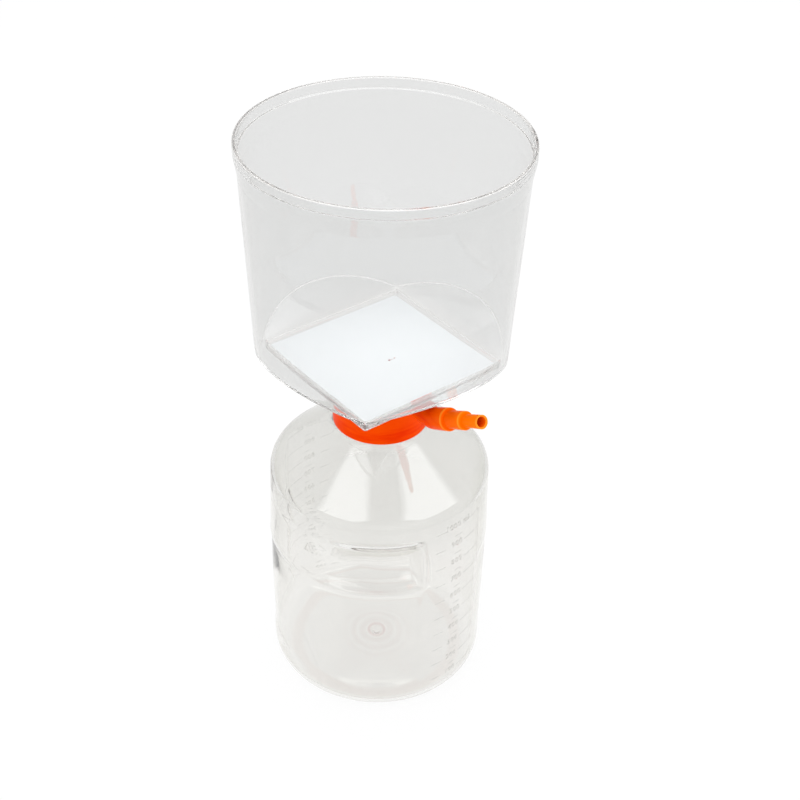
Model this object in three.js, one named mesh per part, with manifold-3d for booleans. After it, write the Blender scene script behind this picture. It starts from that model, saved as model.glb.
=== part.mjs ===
// A bottle-top vacuum filtration unit. A clear funnel turns from a round wall to a square well, where a
// white membrane lies on a drain plate. The plate is welded to an orange adapter, which holds the elbow
// hose connector and screws onto the neck of a clear receiver bottle.
// Millimetres, +Z up. The origin is the centre of the bottle's foot.

import * as THREE from 'three';
import { mergeVertices } from 'three/addons/utils/BufferGeometryUtils.js';
import Module from 'manifold-3d';

const wasm = await Module();
wasm.setup();

// ---- clearances ----
const seatGap = 0.3; // between pieces that bear on each other or are welded
const threadRoom = 1.5; // radial room for the thread between the neck and the collar

// ---- receiver bottle ----
const bottleTurn = -39.5; // degrees: direction of one graduated strip
const bottleWall = 1.6;
const bottleRadius = 53.6; // at the shoulder
const bottleDraft = 0.8; // how much wider the bottle is at its foot
const bottleSwell = 1.2; // how far the side swells between the two
const footFillet = 11.5;
const footLand = 2.6; // width of the flat ring that it stands on
const pushUp = 3; // height of the domed base
const shoulderHeight = 123.6; // where the side would meet the shoulder cone
const shoulderSlope = 38; // degrees
const shoulderRound = 8;
const neckRadius = 19.9;
const neckWall = 1.7;
const neckLedge = 2.5; // flat step between the shoulder cone and the neck
const neckLength = 15.2;
const lipRound = 0.6;

// ---- grips pressed into the bottle's sides ----
const stripHalfAngle = 19; // degrees: half of each full-radius strip that carries a scale
const gripEdgeAngle = 3.5; // degrees: over which a grip falls in from the strip
const gripBottom = 17;
const gripEdge = 3.5; // height over which the panel falls in at its bottom
const panelDepth = 0.8;
const panelEdge = 2; // height over which the panel comes out again under the finger groove
const bandDepth = 0.2; // of the band that carries the groove round from strip to strip
const grooveFoot = 83;
const grooveSteps = [0, 0.8, 2, 4, 6.5, 9.5, 13, 19, 24.5, 27.5]; // heights above the groove's foot
const grooveDepths = [0, 1.7, 4.1, 7.2, 10, 11.5, 11, 6.5, 2, 0]; // at those heights, where it is deepest
const grooveFull = 50; // degrees from a strip's middle, up to which the groove keeps its depth
const grooveEnd = 86; // degrees from a strip's middle, where the groove has run out
const thumbShare = 0.25; // depth of the groove on the thumb's side, as a share of the finger groove's

// ---- neck adapter ----
const collarWall = 1.5;
const collarBottomGap = 0.8; // above the neck ledge
const gasketThickness = 1.6;
const gasketOverhang = 0.6; // how far the gasket's bore stands inside the bottle's
const seatThickness = 1.6; // inner flange that presses on the gasket
const chamberHeight = 14.5; // from that flange to the adapter's top
const chamberWall = 1.7;

// ---- hose connector ----
const connectorTurn = -45; // degrees: direction of the connector, square to one side of the well
const connectorHeight = 3.7; // its axis above the flange
const connectorReach = 38.6; // from the unit's axis to the bend
const connectorTilt = 28.3; // degrees
const connectorRadius = 5.15;
const connectorWall = 1.8;
const bendRadius = 9;
const barbLengths = [12.7, 11.8, 11.8];
const barbRadii = [5.35, 4.3, 3.16];
const barbFlare = 0.18; // how much each step widens towards its outer end
const barbChamfer = 0.8;
const tipBore = 2.4;

// ---- support base ----
const plateThickness = 1.2;
const ribHeight = 0.8;
const ribWidth = 1;
const ribRings = 9;
const ribChannel = 2.4; // drainage gaps along the diagonals and the mid-lines
const borderWidth = 2;
const spoutRadius = 4;
const spoutBore = 2.5;
const spoutLength = 24;
const sumpRadius = 5;
const locatingWall = 1.5;
const locatingHeight = 2.8;

// ---- membrane ----
const membraneThickness = 0.3;

// ---- filter funnel ----
const wellHalf = 38.2; // half the side of the square well, at the membrane
const wellDraft = 0.8; // how much wider the well is at its top, to each side
const wellDepth = 2.4; // from the facets' inner edge down to the membrane
const wellCorner = 1.2;
const frameWall = 1.6;
const facetSlope = 27.2; // degrees
const facetThickness = 1.2;
const funnelWall = 1.7;
const funnelRadius = 62.6; // outside, where the flare to the rim begins
const funnelTaper = 2.6; // degrees
const funnelHeight = 112; // from the frame's lower edge to the top
const rimRadius = 64;
const rimHeight = 5; // the upright band at the top
const rimFlare = 8.2; // height over which the wall widens out to the band
const rimLedge = 0.8; // inner ledge under the band, for a loose lid
const rimRound = 0.5;

// ---- how finely round forms are divided ----
const fullTurn = 96;
const smallTurn = 20;

// ---- levels and sizes that follow ----
const rad = THREE.MathUtils.degToRad;
const footRadius = bottleRadius + bottleDraft;
const coneTopRadius = neckRadius + neckLedge;
const neckLevel = shoulderHeight + (bottleRadius - coneTopRadius) * Math.tan(rad(shoulderSlope));
const neckTop = neckLevel + neckLength;
const neckBore = neckRadius - neckWall;
const collarBottom = neckLevel + collarBottomGap;
const collarBore = neckRadius + threadRoom;
const collarRadius = collarBore + collarWall;
const gasketLevel = neckTop + seatGap;
const seatLevel = gasketLevel + gasketThickness + seatGap;
const chamberLevel = seatLevel + seatThickness;
const adapterTop = chamberLevel + chamberHeight;
const chamberRadius = collarRadius - chamberWall;
const connectorLevel = chamberLevel + connectorHeight;
const frameBottom = adapterTop + seatGap;
const plateTop = frameBottom + plateThickness + ribHeight;
const membraneTop = plateTop + seatGap + membraneThickness;
const wellTop = membraneTop + wellDepth;
const wellTopHalf = wellHalf + wellDraft;
const plateHalf = wellHalf - seatGap;
const frameHalf = wellHalf + frameWall;
const rimTop = frameBottom + funnelHeight;
const rimLevel = rimTop - rimHeight;
const flareLevel = rimLevel - rimFlare;

// ---- materials ----
const clearPlastic = { color: 0xe4e6e2, roughness: 0.08, metalness: 0, transparent: true, opacity: 0.35 };
const orangePlastic = { color: 0xf4600a, roughness: 0.35, metalness: 0 };
const sealRubber = { color: 0xd9dad6, roughness: 0.6, metalness: 0 };
const membraneWhite = { color: 0xeef2f4, roughness: 0.85, metalness: 0 };

// ---- solids ----

// A closed geometry as a solid that can be joined and cut.
function solid(geometry) {
  const bare = geometry.clone();
  bare.deleteAttribute('normal');
  bare.deleteAttribute('uv');
  const merged = mergeVertices(bare, 1e-5);
  const corners = merged.index.array;
  const kept = [];
  for (let i = 0; i < corners.length; i += 3) {
    const [a, b, c] = [corners[i], corners[i + 1], corners[i + 2]];
    if (a !== b && b !== c && c !== a) kept.push(a, b, c);
  }
  return new wasm.Manifold(new wasm.Mesh({
    numProp: 3,
    vertProperties: new Float32Array(merged.attributes.position.array),
    triVerts: new Uint32Array(kept),
  }));
}

// A solid as a named mesh with its material.
function piece(name, shape, material) {
  const { vertProperties, triVerts } = shape.getMesh();
  const geometry = new THREE.BufferGeometry();
  geometry.setAttribute('position', new THREE.BufferAttribute(vertProperties, 3));
  geometry.setIndex(new THREE.BufferAttribute(triVerts, 1));
  geometry.computeVertexNormals();
  const mesh = new THREE.Mesh(geometry, new THREE.MeshStandardMaterial(material));
  mesh.name = name;
  return mesh;
}

// A closed outline of [radius, height] points, counter-clockwise, turned about Z.
function revolve(outline, turns = fullTurn) {
  const points = [...outline, outline[0]].map(([r, z]) => new THREE.Vector2(r, z));
  return new THREE.LatheGeometry(points, turns).rotateX(Math.PI / 2);
}

// A round bar from one height to another.
function bar(radius, low, high, turns = smallTurn) {
  return revolve([[0, low], [radius, low], [radius, high], [0, high]], turns);
}

// Points on an arc in the [radius, height] plane, between two angles in degrees.
function arc(centreR, centreZ, radius, from, to, steps) {
  const points = [];
  for (let i = 0; i <= steps; i += 1) {
    const a = rad(from + (to - from) * i / steps);
    points.push([centreR + radius * Math.cos(a), centreZ + radius * Math.sin(a)]);
  }
  return points;
}

// A square block with rounded upright corners.
function squareBlock(half, corner, low, high) {
  const inner = half - corner;
  const outline = new THREE.Shape();
  outline.absarc(inner, inner, corner, 0, Math.PI / 2);
  outline.absarc(-inner, inner, corner, Math.PI / 2, Math.PI);
  outline.absarc(-inner, -inner, corner, Math.PI, 1.5 * Math.PI);
  outline.absarc(inner, -inner, corner, 1.5 * Math.PI, 2 * Math.PI);
  const options = { depth: high - low, bevelEnabled: false, curveSegments: 4 };
  return new THREE.ExtrudeGeometry(outline, options).translate(0, 0, low);
}

// A four-sided funnel: square in section, with its sides square to X and Y, wider at the top.
function squareFunnel(lowHalf, low, highHalf, high) {
  const toCorner = Math.SQRT2;
  const form = new THREE.CylinderGeometry(highHalf * toCorner, lowHalf * toCorner, high - low, 4);
  return form.rotateX(Math.PI / 2).rotateZ(Math.PI / 4).translate(0, 0, (low + high) / 2);
}

// ---- receiver bottle ----

// The bottle's side from the middle of its base to the top of its shoulder cone, set in by an inset.
function bottleSide(inset) {
  const base = footRadius - footFillet;
  const dome = base - footLand;
  const domeSteps = 3;
  const points = [];
  for (let i = 0; i <= domeSteps; i += 1) {
    const share = i / domeSteps;
    points.push([dome * share, inset + pushUp * (1 - share * share)]);
  }
  points.push(...arc(base, footFillet, footFillet - inset, -90, 0, 5));
  const slope = rad(shoulderSlope);
  const corner = shoulderHeight + inset * (Math.tan(slope) - 1 / Math.cos(slope));
  const turn = 90 - shoulderSlope;
  const round = shoulderRound - inset;
  const sideTop = corner - round * Math.tan(rad(turn / 2));
  const panelTop = grooveFoot - panelEdge;
  const levels = [gripBottom, gripBottom + gripEdge / 2, gripBottom + gripEdge];
  levels.push((gripBottom + panelTop) / 2, panelTop);
  for (const step of grooveSteps) levels.push(grooveFoot + step);
  for (const level of levels) {
    const share = (level - footFillet) / (sideTop - footFillet);
    const side = bottleRadius + bottleDraft * (1 - share) + bottleSwell * Math.sin(Math.PI * share);
    points.push([side - inset, level]);
  }
  points.push(...arc(bottleRadius - inset - round, sideTop, round, 0, turn, 4));
  return points;
}

// The closed section of the bottle's wall: up the outside, over the lip and down the inside.
function bottleOutline() {
  const slope = rad(shoulderSlope);
  const innerConeTop = neckLevel + (coneTopRadius - neckBore) * Math.tan(slope)
    - bottleWall / Math.cos(slope);
  return [
    ...bottleSide(0),
    [coneTopRadius, neckLevel],
    [neckRadius, neckLevel],
    ...arc(neckRadius - lipRound, neckTop - lipRound, lipRound, 0, 90, 2),
    ...arc(neckBore + lipRound, neckTop - lipRound, lipRound, 90, 180, 2),
    [neckBore, innerConeTop],
    ...bottleSide(bottleWall).reverse(),
  ];
}

// Angles round the bottle, in degrees from one strip's middle, closer together at the grips' ends.
function bottleAngles() {
  const angles = new Set();
  const coarse = 9;
  for (let a = 0; a < 360; a += coarse) angles.add(a);
  for (const strip of [0, 180]) {
    for (const side of [-1, 1]) {
      for (const share of [0, 0.5, 1]) {
        angles.add((360 + strip + side * (stripHalfAngle + gripEdgeAngle * share)) % 360);
      }
    }
  }
  return [...angles].sort((a, b) => a - b);
}

// The finger groove's depth at a height, where it is deepest.
function grooveAt(height) {
  const above = height - grooveFoot;
  const next = grooveSteps.findIndex((step) => step >= above);
  if (next < 1) return 0;
  const share = (above - grooveSteps[next - 1]) / (grooveSteps[next] - grooveSteps[next - 1]);
  return THREE.MathUtils.lerp(grooveDepths[next - 1], grooveDepths[next], share);
}

// How far the side is pressed in at an angle from a strip's middle and at a height.
function gripDepth(angle, height) {
  const { smoothstep } = THREE.MathUtils;
  const past = (((-angle) % 180) + 180) % 180;
  const share = (((-angle) % 360) + 360) % 360 > 180 ? thumbShare : 1;
  const end = smoothstep(Math.min(past, 180 - past), stripHalfAngle, stripHalfAngle + gripEdgeAngle);
  const low = smoothstep(height, gripBottom, gripBottom + gripEdge);
  const high = 1 - smoothstep(height, grooveFoot - panelEdge, grooveFoot);
  const band = smoothstep(height, grooveFoot, grooveFoot + grooveSteps[1])
    - smoothstep(height, grooveFoot + grooveSteps.at(-2), grooveFoot + grooveSteps.at(-1));
  const fade = 1 - smoothstep(past, grooveFull, grooveEnd);
  return end * (panelDepth * low * high + bandDepth * band + share * grooveAt(height) * fade);
}

function receiverBottle() {
  const outline = bottleOutline();
  const angles = bottleAngles();
  const positions = [];
  for (const [radius, height] of outline) {
    for (const angle of angles) {
      const pressed = radius > bottleRadius / 2 ? gripDepth(angle, height) : 0;
      const a = rad(angle + bottleTurn);
      positions.push((radius - pressed) * Math.cos(a), (radius - pressed) * Math.sin(a), height);
    }
  }
  const index = [];
  const count = angles.length;
  for (let ring = 0; ring < outline.length - 1; ring += 1) {
    for (let i = 0; i < count; i += 1) {
      const [a, b] = [ring * count + i, ring * count + (i + 1) % count];
      index.push(a, b, b + count, a, b + count, a + count);
    }
  }
  const geometry = new THREE.BufferGeometry();
  geometry.setAttribute('position', new THREE.Float32BufferAttribute(positions, 3));
  geometry.setIndex(index);
  return piece('receiver_bottle', solid(geometry), clearPlastic);
}

// ---- neck gasket ----

function neckGasket() {
  const outer = collarBore - seatGap;
  const inner = neckBore - gasketOverhang;
  const high = gasketLevel + gasketThickness;
  const ring = revolve([[inner, gasketLevel], [outer, gasketLevel], [outer, high], [inner, high]]);
  return piece('neck_gasket', solid(ring), sealRubber);
}

// ---- neck adapter and hose connector ----

// The connector's middle line: out from the axis, then a short bend up into the tilted stem.
function connectorPath(start) {
  const tilt = rad(connectorTilt);
  const tangent = bendRadius * Math.tan(tilt / 2);
  const bend = new THREE.Vector3(connectorReach, 0, connectorLevel);
  const before = new THREE.Vector3(connectorReach - tangent, 0, connectorLevel);
  const stem = new THREE.Vector3(Math.cos(tilt), 0, Math.sin(tilt));
  const after = bend.clone().addScaledVector(stem, tangent);
  const path = new THREE.CurvePath();
  path.add(new THREE.LineCurve3(new THREE.Vector3(start, 0, connectorLevel), before));
  path.add(new THREE.QuadraticBezierCurve3(before, bend, after));
  path.add(new THREE.LineCurve3(after, after.clone().addScaledVector(stem, 1)));
  return path;
}

function tubeAlong(path, radius) {
  const section = new THREE.Shape();
  section.absarc(0, 0, radius, 0, 2 * Math.PI);
  const options = { extrudePath: path, steps: 14, curveSegments: smallTurn / 2 };
  return new THREE.ExtrudeGeometry(section, options);
}

// The outline of the stepped stem, measured along its own axis from the bend.
function barbOutline() {
  const outline = [[0, 0]];
  let along = 0;
  let before = barbRadii[0] - barbFlare;
  barbRadii.forEach((radius, i) => {
    if (i > 0) along += barbChamfer;
    outline.push([Math.min(radius - barbFlare, before), along]);
    along += barbLengths[i] - (i > 0 ? barbChamfer : 0);
    outline.push([radius, along]);
    before = radius;
  });
  outline.push([0, along]);
  return outline;
}

// Stands a form that is built up along Z on the bend, along the tilted stem.
function onStem(geometry) {
  return geometry.rotateY(rad(90 - connectorTilt)).translate(connectorReach, 0, connectorLevel);
}

function neckAdapter() {
  const stemLength = barbLengths.reduce((sum, length) => sum + length, 0);
  const seatBore = neckBore - gasketOverhang;
  const boreRadius = connectorRadius - connectorWall;
  const past = 1;
  const body = solid(bar(collarRadius, collarBottom, adapterTop, fullTurn))
    .add(solid(tubeAlong(connectorPath(chamberRadius / 2), connectorRadius)))
    .add(solid(onStem(revolve(barbOutline(), smallTurn))));
  const hollow = solid(revolve([
    [0, collarBottom - past],
    [collarBore, collarBottom - past],
    [collarBore, seatLevel],
    [seatBore, seatLevel],
    [seatBore, chamberLevel],
    [chamberRadius, chamberLevel],
    [chamberRadius, adapterTop + past],
    [0, adapterTop + past],
  ])).add(solid(tubeAlong(connectorPath(chamberRadius / 2), boreRadius)))
    .add(solid(onStem(bar(tipBore, 0, stemLength + past))));
  return piece('neck_adapter', body.subtract(hollow), orangePlastic);
}

// ---- support base ----

// Ribs in concentric squares, open along the diagonals and the mid-lines so that filtrate can drain.
function addRibs(plate) {
  const floor = frameBottom + plateThickness / 2;
  const high = plateTop - floor;
  const field = plateHalf - borderWidth - ribChannel;
  const innermost = sumpRadius + ribWidth * 2;
  let shape = plate;
  for (let ring = 0; ring < ribRings; ring += 1) {
    const out = innermost + (field - innermost) * ring / (ribRings - 1);
    const low = ribChannel / 2;
    const length = out - ribChannel - low;
    for (let side = 0; side < 4; side += 1) {
      for (const half of [-1, 1]) {
        const rib = new THREE.BoxGeometry(ribWidth, length, high);
        rib.translate(out, half * (low + length / 2), floor + high / 2).rotateZ(side * Math.PI / 2);
        shape = shape.add(solid(rib));
      }
    }
  }
  return shape;
}

function supportBase() {
  const floor = frameBottom + plateThickness;
  const past = 1;
  const field = solid(squareBlock(plateHalf - borderWidth, wellCorner, floor, plateTop + past));
  const plate = solid(squareBlock(plateHalf, wellCorner, frameBottom, plateTop)).subtract(field);
  const ringOuter = chamberRadius - seatGap;
  const ringInner = ringOuter - locatingWall;
  const low = frameBottom - locatingHeight;
  const ring = revolve([
    [ringInner, low],
    [ringOuter, low],
    [ringOuter, frameBottom + plateThickness / 2],
    [ringInner, frameBottom + plateThickness / 2],
  ]);
  const spoutEnd = frameBottom - spoutLength;
  const spout = bar(spoutRadius, spoutEnd, frameBottom + plateThickness / 2);
  const drain = revolve([
    [0, spoutEnd - past],
    [spoutBore, spoutEnd - past],
    [spoutBore, frameBottom + plateThickness / 3],
    [sumpRadius, floor],
    [sumpRadius, floor + past],
    [0, floor + past],
  ], smallTurn);
  const slant = new THREE.BoxGeometry(4 * spoutRadius, 4 * spoutRadius, 2 * spoutRadius);
  slant.translate(0, 0, -spoutRadius).rotateY(rad(45)).translate(0, 0, spoutEnd + spoutRadius);
  const shape = addRibs(plate).add(solid(ring)).add(solid(spout))
    .subtract(solid(drain)).subtract(solid(slant));
  return piece('support_base', shape, clearPlastic);
}

// ---- membrane ----

function membrane() {
  const sheet = squareBlock(plateHalf, wellCorner, plateTop + seatGap, membraneTop);
  return piece('membrane', solid(sheet), membraneWhite);
}

// ---- filter funnel ----

// The radius of the funnel's wall at a height, with an inset from its outside.
function funnelRadiusAt(height, inset) {
  return funnelRadius - (flareLevel - height) * Math.tan(rad(funnelTaper)) - inset;
}

// The funnel's round form, outside: a tapered wall that flares out to the rim band.
function funnelOutside() {
  return revolve([
    [0, frameBottom],
    [funnelRadiusAt(frameBottom, 0), frameBottom],
    [funnelRadius, flareLevel],
    [rimRadius, rimLevel],
    ...arc(rimRadius - rimRound, rimTop - rimRound, rimRound, 0, 90, 2),
    [0, rimTop],
  ]);
}

// Its round form inside, with the ledge under the rim band.
function funnelInside(past) {
  const bore = rimRadius - funnelWall;
  return revolve([
    [0, frameBottom],
    [funnelRadiusAt(frameBottom, funnelWall), frameBottom],
    [funnelRadius - funnelWall, flareLevel],
    [bore - rimLedge, rimLevel],
    [bore, rimLevel],
    [bore, rimTop + past],
    [0, rimTop + past],
  ]);
}

// Four sloping facets turn the round wall to the square well; a frame under them holds the plate.
function filterFunnel() {
  const slope = Math.tan(rad(facetSlope));
  const drop = facetThickness / Math.cos(rad(facetSlope));
  const past = 1;
  const high = rimTop + 2 * past;
  const reach = wellTopHalf + (high - wellTop) / slope;
  const facetsIn = squareFunnel(wellTopHalf, wellTop, reach, high);
  const facetsOut = squareFunnel(wellTopHalf, wellTop - drop, reach, high - drop);
  const shell = solid(funnelOutside()).intersect(solid(facetsOut))
    .add(solid(squareBlock(frameHalf, wellCorner, frameBottom, wellTop)));
  const cavity = solid(funnelInside(past)).intersect(solid(facetsIn))
    .add(solid(squareFunnel(wellHalf, membraneTop, wellTopHalf, wellTop)))
    .add(solid(squareBlock(wellHalf, wellCorner, frameBottom - past, membraneTop)));
  return piece('filter_funnel', shell.subtract(cavity), clearPlastic);
}

// ---- the whole unit ----

const filterUnit = new THREE.Group();
filterUnit.rotation.z = rad(connectorTurn);
filterUnit.add(neckGasket(), neckAdapter(), supportBase(), membrane(), filterFunnel());

const group = new THREE.Group();
group.add(receiverBottle(), filterUnit);

export default group;
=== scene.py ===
import math
import bpy
import numpy as np
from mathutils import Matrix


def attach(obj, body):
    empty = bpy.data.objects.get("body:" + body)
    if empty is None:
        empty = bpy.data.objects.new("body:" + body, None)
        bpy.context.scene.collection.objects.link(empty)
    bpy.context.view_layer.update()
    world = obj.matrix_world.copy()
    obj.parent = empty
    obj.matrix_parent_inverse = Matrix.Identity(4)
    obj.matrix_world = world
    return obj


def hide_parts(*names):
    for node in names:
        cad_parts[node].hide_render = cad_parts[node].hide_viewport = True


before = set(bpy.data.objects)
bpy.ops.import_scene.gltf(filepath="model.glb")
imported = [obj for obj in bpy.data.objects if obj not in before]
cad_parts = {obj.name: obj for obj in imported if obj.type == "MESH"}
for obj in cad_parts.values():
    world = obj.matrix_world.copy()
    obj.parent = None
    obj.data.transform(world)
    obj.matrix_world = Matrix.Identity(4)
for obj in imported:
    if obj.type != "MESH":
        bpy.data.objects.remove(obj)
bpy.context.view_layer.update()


# Receiver bottle
# A one-litre blow-moulded bottle in clear polystyrene, with a finger groove and a flat panel pressed
# into each side between two full-radius strips. The base is pushed up into a shallow dome.
mm = 0.001
bottle_turn = math.radians(-39.5)
bottle_wall = 1.6
shoulder_radius, bottle_draft, bottle_swell = 53.6, 0.8, 1.2
foot_fillet, foot_land = 11.5, 2.6
push_up, dome_steps = 3.0, 56
dome_ripple, ripple_rate, ripple_fade = 0.11, 1.9, 12
gate_drop, gate_radius = 0.5, 1.9
shoulder_height, shoulder_slope, shoulder_round = 123.6, math.radians(38), 8.0
shoulder_turn = 90 - math.degrees(shoulder_slope)
neck_radius, neck_wall, neck_ledge, neck_length, lip_round = 19.9, 1.7, 2.5, 15.2, 0.6
neck_level = shoulder_height + (shoulder_radius - neck_radius - neck_ledge) * math.tan(shoulder_slope)
neck_top = neck_level + neck_length
ledge_ease = (0.15, 0.06)
throat_curve = ((0, 0.8), (0.08, 0.3), (0.5, -0.35), (0.9, -0.7))
# Points up the side as (from, to, steps), and round it in degrees, close together where a grip falls in.
side_rows = ((foot_fillet, 14, 2), (14, 24, 8), (24, 81, 14), (81, 83, 6), (83, 85.5, 8), (85.5, 112.5, 36))
strip_half, fine_step, coarse_step = 19.0, 0.4, 2.0
edge_start, edge_end = strip_half - 2, strip_half + 5


def arc(cr, cz, radius, start, stop, steps):
    """Points of an arc in the radius-height plane, between two angles in degrees."""
    return [(cr + radius * math.cos(math.radians(start + (stop - start) * i / steps)),
             cz + radius * math.sin(math.radians(start + (stop - start) * i / steps)))
            for i in range(steps + 1)]


def line(a, b, steps):
    """Points from a to b, without b."""
    return [(a[0] + (b[0] - a[0]) * i / steps, a[1] + (b[1] - a[1]) * i / steps) for i in range(steps)]


def spread(low, high, count):
    """Even values from low to high, without high."""
    return [low + (high - low) * i / count for i in range(count)]


def side_radius(height):
    """The bottle's outside radius on a strip."""
    top = shoulder_height - shoulder_round * math.tan(math.radians(shoulder_turn / 2))
    share = min(max((height - foot_fillet) / (top - foot_fillet), 0), 1)
    return shoulder_radius + bottle_draft * (1 - share) + bottle_swell * math.sin(math.pi * share)


def bottle_side(inset):
    """Half the section of the bottle's outside, or of its inside, from the axis up to the shoulder cone."""
    foot = shoulder_radius + bottle_draft - foot_fillet
    dome = foot - foot_land
    points = []
    for i in range(dome_steps + 1):
        r = dome * i / dome_steps
        ripple = dome_ripple * math.cos(r * ripple_rate) * math.exp(-r / ripple_fade)
        gate = gate_drop / (1 + (r / gate_radius) ** 6) if inset == 0 else 0
        points.append((r, inset + push_up * (1 - (i / dome_steps) ** 2) + ripple - gate))
    points += arc(foot, foot_fillet, foot_fillet - inset, -90, 0, 14)[:-1]
    corner = shoulder_height + inset * (math.tan(shoulder_slope) - 1 / math.cos(shoulder_slope))
    bend = shoulder_round - inset
    top = corner - bend * math.tan(math.radians(shoulder_turn / 2))
    for low, high, count in (*side_rows, (side_rows[-1][1], top, 3)):
        points += [(side_radius(z) - inset, z) for z in spread(low, high, count)]
    return points + arc(shoulder_radius - inset - bend, top, bend, 0, shoulder_turn, 10)


def bottle_section():
    """The whole section of the wall: up the outside, over the lip and down the inside."""
    outside, inside = bottle_side(0), bottle_side(bottle_wall)
    ledge = (neck_radius + neck_ledge, neck_level)
    lip_level = neck_top - lip_round
    section = outside[:-1] + line(outside[-1], ledge, 10)
    section.append((ledge[0] - ledge_ease[0], ledge[1] + ledge_ease[1]))
    section += arc(neck_radius + lip_round, neck_level + lip_round, lip_round, 270, 180, 4)
    section += line((neck_radius, neck_level + lip_round), (neck_radius, lip_level), 5)
    section += arc(neck_radius - lip_round, lip_level, lip_round, 0, 90, 4)
    bore = neck_radius - neck_wall
    throat_level = neck_level + (neck_ledge + neck_wall) * math.tan(shoulder_slope) \
        - bottle_wall / math.cos(shoulder_slope)
    throat = [(bore + out, throat_level + up) for out, up in throat_curve]
    section += arc(bore + lip_round, lip_level, lip_round, 90, 180, 4)
    section += line((bore, neck_top - 1.5 * lip_round), throat[0], 5) + throat[1:-1]
    return section + line(throat[-1], inside[-1], 10) + inside[::-1]


def strip_angles():
    """Degrees round the bottle from one strip's middle."""
    marks = []
    for start in (0, 180):
        for low, high, step in ((0, edge_start, coarse_step), (edge_start, edge_end, fine_step),
                                (edge_end, 180 - edge_end, coarse_step),
                                (180 - edge_end, 180 - edge_start, fine_step),
                                (180 - edge_start, 180, coarse_step)):
            marks += spread(start + low, start + high, round((high - low) / step))
    return marks


def shell(name, rows, closed=False):
    """A mesh from rows of points round the axis. A row of one point is a pole."""
    points, faces, starts = [], [], []
    for row in rows:
        starts.append((len(points), len(row)))
        points += [tuple(p) for p in row]
    pairs = list(zip(starts, starts[1:] + starts[:1])) if closed else list(zip(starts, starts[1:]))
    for (a, na), (b, nb) in pairs:
        for i in range(max(na, nb)):
            j = (i + 1) % max(na, nb)
            if na == 1:
                faces.append((a, b + j, b + i))
            elif nb == 1:
                faces.append((a + i, a + j, b))
            else:
                faces.append((a + i, a + j, b + j, b + i))
    mesh = bpy.data.meshes.new(name)
    mesh.from_pydata(points, [], faces)
    mesh.polygons.foreach_set("use_smooth", [True] * len(mesh.polygons))
    mesh.update()
    return mesh


def turned(section, angles, turn=0.0):
    """Rows of points for a section turned about the axis, in metres."""
    a = np.radians(np.array(angles)) + turn
    return [[(r * mm * math.cos(v), r * mm * math.sin(v), z * mm) for v in a] if r > 1e-6 else
            [(0, 0, z * mm)] for r, z in section]


def put(name, mesh, material=None):
    """A mesh as an object at the origin, in the scene."""
    made = bpy.data.objects.new(name, mesh)
    bpy.context.scene.collection.objects.link(made)
    if material:
        made.data.materials.clear()
        made.data.materials.append(material)
    return made


def as_made(piece):
    """The plain mesh that an object's modifiers or letters give."""
    bpy.context.view_layer.update()
    return bpy.data.meshes.new_from_object(piece.evaluated_get(bpy.context.evaluated_depsgraph_get()))


class Tree:
    """A node tree that is written a line at a time."""

    def __init__(self, tree):
        self.tree = tree

    def node(self, kind, links=None, **settings):
        made = self.tree.nodes.new(kind)
        for key, value in settings.items():
            setattr(made, key, value)
        for key, value in (links or {}).items():
            socket = made.inputs[key]
            if isinstance(value, bpy.types.NodeSocket):
                self.tree.links.new(value, socket)
            elif isinstance(value, bpy.types.Node):
                self.tree.links.new(value.outputs[0], socket)
            else:
                socket.default_value = value
        return made

    def math(self, operation, *values):
        return self.node("ShaderNodeMath", dict(enumerate(values)), operation=operation).outputs[0]

    def plus(self, first, *others):
        for other in others:
            first = self.math("ADD", first, other)
        return first

    def minus(self, first, second):
        return self.math("SUBTRACT", first, second)

    def times(self, first, *others):
        for other in others:
            first = self.math("MULTIPLY", first, other)
        return first

    def ramp(self, value, low, high, start=0.0, stop=1.0, smooth="LINEAR"):
        """A value that goes from start to stop, and no further, as another goes from low to high."""
        return self.node("ShaderNodeMapRange", {"Value": value, "From Min": low, "From Max": high,
                                                "To Min": start, "To Max": stop},
                         interpolation_type=smooth).outputs[0]

    def ease(self, value, low, high, start=0.0, stop=1.0):
        """A ramp that starts and stops gently."""
        return self.ramp(value, low, high, start, stop, "SMOOTHSTEP")

    def noise(self, place, scale, detail, roughness=0.5):
        return self.node("ShaderNodeTexNoise", {"Vector": place, "Scale": scale, "Detail": detail,
                                                "Roughness": roughness}).outputs["Fac"]

    def mix(self, share, first, second):
        """A colour between two others, which are sockets or plain colours."""
        first, second = [(*c, 1) if isinstance(c, tuple) else c for c in (first, second)]
        return self.node("ShaderNodeMix", {0: share, 6: first, 7: second}, data_type="RGBA").outputs[2]


def geometry_tree(name, sizes):
    """A Geometry Nodes tree with named inputs. Returns it with its input and output nodes."""
    group = bpy.data.node_groups.new(name, "GeometryNodeTree")
    group.interface.new_socket("Geometry", in_out="OUTPUT", socket_type="NodeSocketGeometry")
    group.interface.new_socket("Geometry", in_out="INPUT", socket_type="NodeSocketGeometry")
    for label, value in sizes.items():
        kind = "NodeSocketInt" if isinstance(value, int) else "NodeSocketFloat"
        group.interface.new_socket(label, in_out="INPUT", socket_type=kind).default_value = value
    group.interface.new_socket("Material", in_out="INPUT", socket_type="NodeSocketMaterial")
    tree = Tree(group)
    return tree, tree.node("NodeGroupInput").outputs, tree.node("NodeGroupOutput")


def end_tree(tree, size, end, geometry):
    """Ends a tree in real geometry with its material."""
    geometry = tree.node("GeometryNodeRealizeInstances", {0: geometry})
    geometry = tree.node("GeometryNodeSetMaterial", {"Geometry": geometry, "Material": size["Material"]})
    tree.tree.links.new(geometry.outputs[0], end.inputs[0])


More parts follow.
